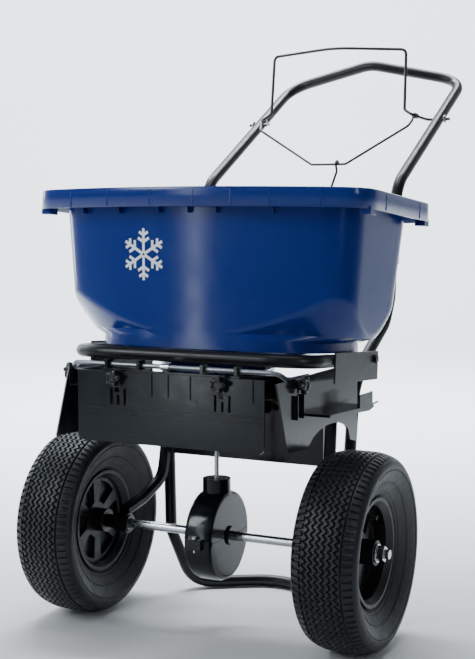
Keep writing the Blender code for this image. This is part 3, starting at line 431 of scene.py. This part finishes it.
def body_section(depth):
    w2 = RIM_W2 - RIM_LEDGE - WALL - DRAFT * depth
    d2 = RIM_D2 - RIM_LEDGE - WALL - DRAFT * depth
    limit = 1 + BOWL_SLOPE * (BOWL_TOP - depth)
    section = []
    for x, y in bowed_outline(w2, d2, RIM_BOW, CORNER_R):
        reach = sqrt((x / (BOWL_W2 - WALL)) ** 2 + (y / (BOWL_D2 - WALL)) ** 2)
        scale = smaller(1.0, limit / reach)
        section.append((x * scale, y * scale, -depth))
    return section


def foot_section(depth, w2, d2, power, shift, rim):
    section = []
    for x, y in rim:
        c, s = Vector((x / RIM_W2, y / RIM_D2)).normalized()
        grow = (abs(c) ** power + abs(s) ** power) ** (-1 / power)
        section.append((w2 * c * grow, d2 * s * grow + shift, -depth))
    return section


def hopper_rows():
    rim = bowed_outline(RIM_W2, RIM_D2, RIM_BOW, CORNER_R)
    rows = [[(x, y, -RIM_SKIRT) for x, y in rim], [(x, y, -0.0030) for x, y in rim],
            [(x * 0.9985, y * 0.9985, -0.0010) for x, y in rim],
            [(x * 0.9945, y * 0.9945, 0.0) for x, y in rim]]
    rows += [body_section(BOWL_TOP * k / 60) for k in range(61)]
    foot = (FOOT_W2 - WALL, FOOT_D2 - WALL)
    rows.append(foot_section(FOOT_TOP, *foot, 3.0, 0, rim))
    rows.append(foot_section(FOOT_BOTTOM - WALL, *foot, 3.0, 0, rim))
    rows.append(foot_section(FOOT_BOTTOM - WALL, 0.192, 0.136, 2.6, 0, rim))
    rows.append(foot_section(0.280 - WALL, 0.132, 0.105, 2.2, FLOOR_Y * 0.6, rim))
    rows.append(foot_section(-FLOOR_Z - WALL, OUTLET_R, OUTLET_R, 2.0, FLOOR_Y, rim))
    return rows


def build_hopper():
    bm = bmesh.new()
    place = hopper_place()
    rows = [[bm.verts.new(place @ Vector(p)) for p in row] for row in hopper_rows()]
    for upper, lower in zip(rows, rows[1:]):
        for i in range(len(upper)):
            bm.faces.new((upper[i - 1], upper[i], lower[i], lower[i - 1]))
    obj = new_object("hopper_look", bm)
    solid = obj.modifiers.new("wall", "SOLIDIFY")
    solid.thickness = WALL
    solid.offset = -1.0
    solid.use_even_offset = True
    finish_piece(obj, ["hopper"])
    smooth(obj, HOPPER_SHARP)


def block(bm, place, low, high):
    """A box between two corners in the hopper's own frame, added to bm."""
    corners = [bm.verts.new(place @ Vector((x, y, z)))
               for x in (low[0], high[0]) for y in (low[1], high[1]) for z in (low[2], high[2])]
    for face in ((0, 1, 3, 2), (4, 6, 7, 5), (0, 4, 5, 1), (2, 3, 7, 6), (0, 2, 6, 4),
                 (1, 5, 7, 3)):
        bm.faces.new([corners[i] for i in face])


def build_rim_details():
    """Moulding lines on the skirt, gussets under the rim and small feet at its corners."""
    bm = bmesh.new()
    place = hopper_place()
    for x in SKIRT_LINES:
        y = -RIM_D2 - RIM_BOW * (1 - (x / RIM_W2) ** 2)
        for side in (-1, 1):
            block(bm, place, (x - 0.0009, side * y - 0.0008, -RIM_SKIRT + 0.0015),
                  (x + 0.0009, side * y + 0.0008, -0.004))
    for y in (-0.085, 0.085):
        for side in (-1, 1):
            block(bm, place, (side * RIM_W2 - 0.0007, y - 0.0009, -RIM_SKIRT + 0.0015),
                  (side * RIM_W2 + 0.0007, y + 0.0009, -0.004))
    for x in GUSSETS:
        for side in (-1, 1):
            body, skirt = front_y(x, 0.040) + 0.002, front_y(x, 0) - RIM_LEDGE * 0.3
            low, high = sorted((side * body, side * skirt))
            block(bm, place, (x - 0.0010, low, -0.040), (x + 0.0010, high, -0.030))
    for side in (-1, 1):
        for end in (-1, 1):
            x, y = side * 0.296, end * (RIM_D2 - 0.028)
            block(bm, place, (x - 0.009, y - 0.012, -RIM_SKIRT - 0.0080),
                  (x + 0.009, y + 0.012, -RIM_SKIRT + 0.004))
    obj = new_object("hopper_rim_details", bm)
    bevel = obj.modifiers.new("soft_edge", "BEVEL")
    bevel.width = 0.0005
    bevel.segments = 2
    smooth(obj)
    obj.data.materials.append(MATERIALS["blue_plastic"])
    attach(obj, BODY_OF["hopper"])


def front_y(x, depth):
    """How far forward the front wall's outside stands, in the hopper's own frame."""
    w2 = RIM_W2 - RIM_LEDGE - DRAFT * depth
    d2 = RIM_D2 - RIM_LEDGE - DRAFT * depth
    return -d2 - RIM_BOW * (1 - (x / w2) ** 2)


def build_snowflake():
    """A plain white snowflake on the front wall, in place of any badge."""
    bm = bmesh.new()
    place = hopper_place()

    def bar(start, end):
        along = (end - start).normalized()
        across = Vector((-along.y, along.x)) * FLAKE_HALF
        cuts = 10
        previous = None
        for k in range(cuts + 1):
            middle = start.lerp(end, k / cuts)
            pair = []
            for point in (middle + across, middle - across):
                x, depth = FLAKE_X + point.x, FLAKE_DEPTH - point.y
                pair.append(bm.verts.new(place @ Vector((x, front_y(x, depth) - 0.0003, -depth))))
            if previous:
                bm.faces.new((previous[0], previous[1], pair[1], pair[0]))
            previous = pair

    for k in range(6):
        way = Vector((cos(pi / 6 + k * pi / 3), sin(pi / 6 + k * pi / 3)))
        bar(way * 0.002, way * FLAKE_ARM)
        for turn in (-1, 1):
            for share, reach in ((0.48, 0.30), (0.74, 0.24)):
                branch = Matrix.Rotation(turn * pi / 3, 2) @ way
                root = way * FLAKE_ARM * share
                bar(root, root + branch * FLAKE_ARM * reach)
    obj = new_object("snowflake_mark", bm)
    obj.data.materials.append(surface("white_print", (0.90, 0.91, 0.92), (0.94, 0.95, 0.96),
                                      (0.35, 0.45), grain=900, bump=0.00002))
    obj.data.shade_smooth()
    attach(obj, BODY_OF["hopper"])


# Knobs

def build_knob(node, place, turn):
    """A five-lobed knob with a crowned, dished face, and its stud behind it."""
    rows = [(STUD_R, -0.0105, 0), (STUD_R, 0.0005, 0), (0.0070, 0.0006, 0), (0.0070, 0.0058, 0),
            (KNOB_R * 0.93, 0.0061, 1), (KNOB_R, 0.0072, 1), (KNOB_R, 0.0118, 1),
            (KNOB_R * 0.97, 0.0140, 1), (KNOB_R * 0.86, 0.0154, 1), (KNOB_R * 0.66, 0.0159, 0.8),
            (KNOB_R * 0.50, 0.0153, 0.4), (KNOB_R * 0.40, 0.0138, 0.1), (0.0010, 0.0136, 0)]
    steps = 80
    matrix = Matrix.Translation(place) @ turn
    bm = bmesh.new()
    loops = []
    for radius, height, lobes in rows:
        loop = []
        for k in range(steps):
            a = 2 * pi * k / steps
            r = radius * (1 - lobes * 0.17 * (1 - cos(5 * a)))
            loop.append(bm.verts.new(matrix @ Vector((r * cos(a), r * sin(a), height))))
        loops.append(loop)
    for low, high in zip(loops, loops[1:]):
        for k in range(steps):
            bm.faces.new((low[k - 1], low[k], high[k], high[k - 1]))
    bm.faces.new(loops[0])
    bm.faces.new(loops[-1])
    obj = new_object(node + "_look", bm)
    smooth(obj)
    finish_piece(obj, [node])
    obj.data.materials.clear()
    obj.data.materials.append(KNOB_BLACK)


def build_knobs():
    for side, name in ((1, "right"), (-1, "left")):
        front = Vector((side * KNOB_X, AXLE_Y + FRONT_Y - PANEL / 2 - 0.0005, KNOB_Z))
        build_knob("front_knob_" + name, front, Matrix.Rotation(pi / 2, 4, "X"))
        flank = Vector((side * (SIDE_X + PANEL / 2 + 0.0005), AXLE_Y + SIDE_KNOB_Y, KNOB_Z))
        build_knob("side_knob_" + name, flank, Matrix.Rotation(side * pi / 2, 4, "Y"))


# Tyres

def tyre_outline():
    """The tyre's outside from one bead round to the other as smooth (radius, offset)."""
    half, bead = TYRE_W / 2, RIM_W / 2 - 0.0045
    inner = [(0.0838, bead), (0.0920, bead + 0.001), (0.0985, half * 0.62)]
    wall = [(0.1100, half * 0.74), (0.1220, half * 0.86), (0.1340, half * 0.96),
            (0.1430, half), (0.1520, half * 0.95)]
    crown = [(0.1590, half * 0.79), (WHEEL_R - 0.0010, half * 0.46), (WHEEL_R, 0.0)]
    right = inner + wall + crown
    points = [Vector(p) for p in right + [(r, -h) for r, h in reversed(right[:-1])]]
    outline = []
    for i in range(len(points) - 1):
        a, b = points[max(i - 1, 0)], points[i]
        c, d = points[i + 1], points[min(i + 2, len(points) - 1)]
        steps = max(2, round((c - b).length / 0.0011))
        for k in range(steps):
            t = k / steps
            outline.append(0.5 * (2 * b + (c - a) * t + (2 * a - 5 * b + 4 * c - d) * t ** 2
                                  + (3 * b - a - 3 * c + d) * t ** 3))
    return [(min(r, WHEEL_R), max(-half, min(half, h))) for r, h in outline + [points[-1]]]


def tread_cut(offset, angle, reach):
    """How deep the tread is cut at a place: zigzag grooves, with lugs at the shoulders."""
    wave = abs((angle * TREAD_WAVES / (2 * pi)) % 1.0 - 0.5) * 2
    if reach < TREAD_HALF * GROOVED_TO:
        lane = offset / GROOVE_STEP + (wave - 0.5) * GROOVE_SWAY
        return 1.0 if abs(lane % 1.0 - 0.5) < 0.17 else 0.0
    if reach < TREAD_HALF * LUGS_FROM:
        return 1.0
    if reach < TREAD_HALF * LUGS_TO:
        return 1.0 if wave < 0.34 else 0.0
    return 0.0


def build_tyre(side, name):
    """The tyre as one ring with its tread cut into it and two raised rings on each wall."""
    outline = tyre_outline()
    around = TREAD_WAVES * 8
    middle = Vector((side * TRACK / 2, AXLE_Y, WHEEL_R))
    bm = bmesh.new()
    rows = []
    for k in range(around):
        angle = 2 * pi * k / around
        row = []
        for r, offset in outline:
            radius = r
            if r > TREAD_FROM_R:
                radius -= TREAD_DEPTH * tread_cut(offset, angle, abs(offset))
            for ring in WALL_RINGS:
                if abs(r - ring) < 0.0011:
                    offset *= 0.975
            row.append(bm.verts.new(middle + Vector((offset, radius * cos(angle),
                                                     radius * sin(angle)))))
        rows.append(row)
    for k in range(around):
        row, nxt = rows[k - 1], rows[k]
        for i in range(len(outline) - 1):
            bm.faces.new((row[i], nxt[i], nxt[i + 1], row[i + 1]))
        bm.faces.new((row[-1], nxt[-1], nxt[0], row[0]))
    obj = new_object("tyre_look_" + name, bm)
    smooth(obj, TYRE_SHARP)
    finish_piece(obj, ["tyre_" + name])


# Stage

def softbox(name, place, target, size, energy):
    light = bpy.data.lights.new(name, "AREA")
    light.shape = "RECTANGLE"
    light.size, light.size_y = size
    light.energy = energy
    light.color = COOL
    obj = bpy.data.objects.new(name, light)
    obj.location = place
    obj.rotation_euler = (Vector(target) - Vector(place)).to_track_quat("-Z", "Y").to_euler()
    bpy.context.scene.collection.objects.link(obj)


def studio_outline():
    """The studio's floor, curve and wall as (radius, height), from the middle outwards."""
    floor, bend, top = STUDIO_R - STUDIO_BEND, STUDIO_BEND, STUDIO_TOP
    outline = [(floor * k / 12, 0.0) for k in range(1, 13)]
    outline += [(floor + bend * sin(a), bend * (1 - cos(a)))
                for a in (pi / 2 * k / 12 for k in range(1, 13))]
    return outline + [(STUDIO_R, top)]


def studio_material():
    """Pale near the object, with painted shade far off to the right so that the flanks reflect it
    dark and keep contrast.
    """
    material = surface("studio_white", (0.60, 0.60, 0.60), (0.62, 0.62, 0.62), (0.8, 0.9),
                       mottle=0.5, bump=0.000001)
    nodes, links = material.node_tree.nodes, material.node_tree.links
    shader = nodes["Principled BSDF"]
    pale = shader.inputs["Base Color"].links[0].from_socket
    coords = nodes.new("ShaderNodeTexCoord")
    axes = nodes.new("ShaderNodeSeparateXYZ")
    links.new(coords.outputs["Object"], axes.inputs["Vector"])
    far = nodes.new("ShaderNodeVectorMath")
    far.operation = "LENGTH"
    links.new(coords.outputs["Object"], far.inputs[0])
    rightward, outward = nodes.new("ShaderNodeMapRange"), nodes.new("ShaderNodeMapRange")
    rightward.inputs["From Min"].default_value = -0.2
    rightward.inputs["From Max"].default_value = 1.4
    outward.inputs["From Min"].default_value = 1.3
    outward.inputs["From Max"].default_value = 2.4
    links.new(axes.outputs["X"], rightward.inputs["Value"])
    links.new(far.outputs["Value"], outward.inputs["Value"])
    painted_shade_amount = nodes.new("ShaderNodeMath")
    painted_shade_amount.operation = "MULTIPLY"
    links.new(rightward.outputs["Result"], painted_shade_amount.inputs[0])
    links.new(outward.outputs["Result"], painted_shade_amount.inputs[1])
    # Painted shade: the studio's own colour is darkened far off to the right, where the hopper's
    # flanks see it in their reflections.
    shade = nodes.new("ShaderNodeMix")
    shade.data_type = "RGBA"
    shade.inputs["B"].default_value = (0.24, 0.245, 0.25, 1)
    links.new(painted_shade_amount.outputs["Value"], shade.inputs["Factor"])
    links.new(pale, shade.inputs["A"])
    links.new(shade.outputs["Result"], shader.inputs["Base Color"])
    return material


def build_stage():
    bm = bmesh.new()
    steps = 96
    middle = bm.verts.new((0, 0, 0))
    rows = [[bm.verts.new((r * cos(2 * pi * k / steps), r * sin(2 * pi * k / steps), z))
             for k in range(steps)] for r, z in studio_outline()]
    for k in range(steps):
        bm.faces.new((middle, rows[0][k - 1], rows[0][k]))
        for inner, outer in zip(rows, rows[1:]):
            bm.faces.new((inner[k - 1], outer[k - 1], outer[k], inner[k]))
    studio = new_object("studio_floor", bm)
    studio.location.z = -0.0005
    studio.data.materials.append(studio_material())
    studio.data.shade_smooth()
    world = bpy.data.worlds.new("studio")
    bpy.context.scene.world = world
    world.use_nodes = True
    world.node_tree.nodes["Background"].inputs["Color"].default_value = (1, 1, 1, 1)
    world.node_tree.nodes["Background"].inputs["Strength"].default_value = WORLD_LIGHT
    for name, place, target, size, energy in SOFTBOXES:
        softbox(name, place, target, size, energy)


def build_camera():
    camera = bpy.data.cameras.new("camera")
    camera.lens = CAMERA_LENS
    camera.sensor_width = SENSOR_W
    obj = bpy.data.objects.new("camera", camera)
    obj.location = CAMERA_AT
    obj.rotation_euler = (CAMERA_AIM - CAMERA_AT).to_track_quat("-Z", "Y").to_euler()
    bpy.context.scene.collection.objects.link(obj)
    bpy.context.scene.camera = obj


build_camera()
build_stage()
build_tubes()
build_hopper()
build_rim_details()
build_snowflake()
build_knobs()
for side, name in ((1, "right"), (-1, "left")):
    build_tyre(side, name)
REBUILT = {"main_frame", "handle", "base_loop", "baffle_rod", "bail", "bridle", "pull_rod",
           "hopper", "tyre_left", "tyre_right", "front_knob_left", "front_knob_right",
           "side_knob_left", "side_knob_right"}
for node in sorted(NODES):
    if node not in REBUILT:
        softened(node)

bpy.context.view_layer.update()
